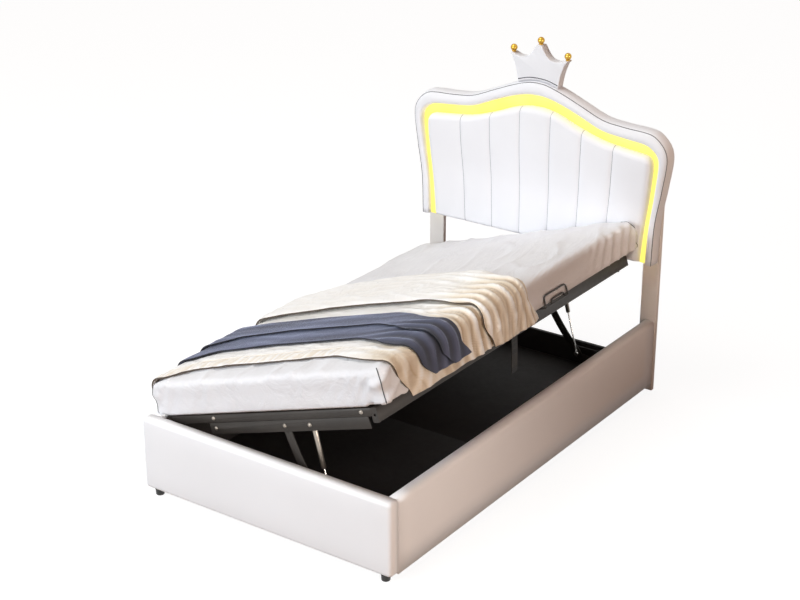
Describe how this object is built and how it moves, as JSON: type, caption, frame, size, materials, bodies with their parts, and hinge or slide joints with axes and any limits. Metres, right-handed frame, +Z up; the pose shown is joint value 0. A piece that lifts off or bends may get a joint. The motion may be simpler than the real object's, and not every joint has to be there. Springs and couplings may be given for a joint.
{
  "type": "ottoman bed",
  "caption": "Ottoman bed with an upholstered storage box, a lit headboard topped by a crown, and a slatted platform that tilts up sideways with its mattress and covers.",
  "frame": {"origin": "on the floor, under the middle of the bed's outline seen from above", "axes": "+Z up; +Y from the foot end towards the headboard; +X towards the long side that opens, which is on the right when the bed is seen from its foot end"},
  "size_m": [1.344, 2.094, 1.5906],
  "materials": {
    "cover": "satin",
    "pad_cover": "satin",
    "light": "matte",
    "black_steel": "satin",
    "bright_steel": "satin",
    "chrome": "polished",
    "black_board": "matte",
    "white_post": "satin",
    "black_plastic": "matte",
    "slat_wood": "satin",
    "gold": "polished",
    "sheet": "matte",
    "satin": "satin",
    "navy": "matte",
    "webbing": "matte"
  },
  "bodies": {
    "box": {"footboard": "cover", "side_rail_left": "cover", "side_rail_right": "cover", "head_end_board": "black_board", "floor_panel_foot": "black_board", "floor_panel_head": "black_board", "centre_bearer": "black_board", "centre_foot_1": "black_plastic", "centre_foot_2": "black_plastic", "foot_left": "black_plastic", "foot_right": "black_plastic", "corner_bracket_left": "black_steel", "corner_bracket_right": "black_steel", "head_bracket_left": "black_steel", "head_bracket_right": "black_steel", "headboard_post_left": "white_post", "headboard_post_right": "white_post", "headboard_back": "black_board", "headboard_border": "cover", "light_strip": "light", "headboard_pad": "pad_cover", "light_inlet": "black_plastic", "crown": "cover", "crown_ball_left": "gold", "crown_ball_middle": "gold", "crown_ball_right": "gold", "lift_base_foot": "black_steel", "lift_base_head": "black_steel", "hinge_bracket_foot": "black_steel", "hinge_bracket_head": "black_steel", "closing_rest_foot": "black_steel", "closing_rest_head": "black_steel"},
    "platform": {"frame_tube_left": "black_steel", "frame_tube_right": "black_steel", "frame_tube_foot": "black_steel", "frame_tube_head": "black_steel", "frame_tube_centre": "black_steel", "lift_bar_foot": "black_steel", "lift_bar_head": "black_steel", "slat_1": "slat_wood", "slat_2": "slat_wood", "slat_3": "slat_wood", "slat_4": "slat_wood", "slat_5": "slat_wood", "slat_6": "slat_wood", "slat_7": "slat_wood", "slat_8": "slat_wood", "slat_9": "slat_wood", "slat_10": "slat_wood", "mattress_retainer": "bright_steel", "mattress": "sheet", "quilt": "satin", "throw": "navy"},
    "strap": {"pull_strap": "webbing"},
    "stay_foot": {"link_foot": "black_steel"},
    "cylinder_foot": {"strut_cylinder_foot": "bright_steel"},
    "rod_foot": {"strut_rod_foot": "chrome"},
    "stay_head": {"link_head": "black_steel"},
    "cylinder_head": {"strut_cylinder_head": "bright_steel"},
    "rod_head": {"strut_rod_head": "chrome"}
  },
  "joints": [
    {"name": "platform_hinge", "type": "hinge", "parent": "box", "child": "platform", "pos_m": [-0.538, -0.0155, 0.328], "axis": [0, 1, 0], "range_deg": [0, 18.1], "stiffness_Nm_per_rad": 540, "springref_deg": -85.94},
    {"name": "strap_swing", "type": "hinge", "parent": "platform", "child": "strap", "pos_m": [0.50483, -0.0195, 0.6234], "axis": [0, 1, 0], "range_deg": [-18.2, 0.1]},
    {"name": "stay_pivot_foot", "type": "hinge", "parent": "platform", "child": "stay_foot", "pos_m": [0.0606, -0.956, 0.47946], "axis": [0, 1, 0], "range_deg": [-54.4, 0.1]},
    {"name": "strut_pivot_foot", "type": "hinge", "parent": "platform", "child": "cylinder_foot", "pos_m": [0.18317, -0.943, 0.51953], "axis": [0, 1, 0], "range_deg": [-63.94, 0.1]},
    {"name": "strut_slide_foot", "type": "slide", "parent": "cylinder_foot", "child": "rod_foot", "axis": [0.2591, 0, -0.9659], "range_m": [-0.10365, 0.0002]},
    {"name": "stay_pivot_head", "type": "hinge", "parent": "platform", "child": "stay_head", "pos_m": [0.0606, 0.925, 0.47946], "axis": [0, 1, 0], "range_deg": [-54.4, 0.1]},
    {"name": "strut_pivot_head", "type": "hinge", "parent": "platform", "child": "cylinder_head", "pos_m": [0.18317, 0.912, 0.51953], "axis": [0, 1, 0], "range_deg": [-63.94, 0.1]},
    {"name": "strut_slide_head", "type": "slide", "parent": "cylinder_head", "child": "rod_head", "axis": [0.2591, 0, -0.9659], "range_m": [-0.10365, 0.0002]}
  ],
  "couplings": [
    {"joint": "strap_swing", "follows": "platform_hinge", "ratio": -1},
    {"joint": "stay_pivot_foot", "follows": "platform_hinge", "ratio": -3},
    {"joint": "strut_pivot_foot", "follows": "platform_hinge", "ratio": -3.5272},
    {"joint": "strut_slide_foot", "follows": "platform_hinge", "m_per_rad": -0.32749},
    {"joint": "stay_pivot_head", "follows": "platform_hinge", "ratio": -3},
    {"joint": "strut_pivot_head", "follows": "platform_hinge", "ratio": -3.5272},
    {"joint": "strut_slide_head", "follows": "platform_hinge", "m_per_rad": -0.32749}
  ]
}
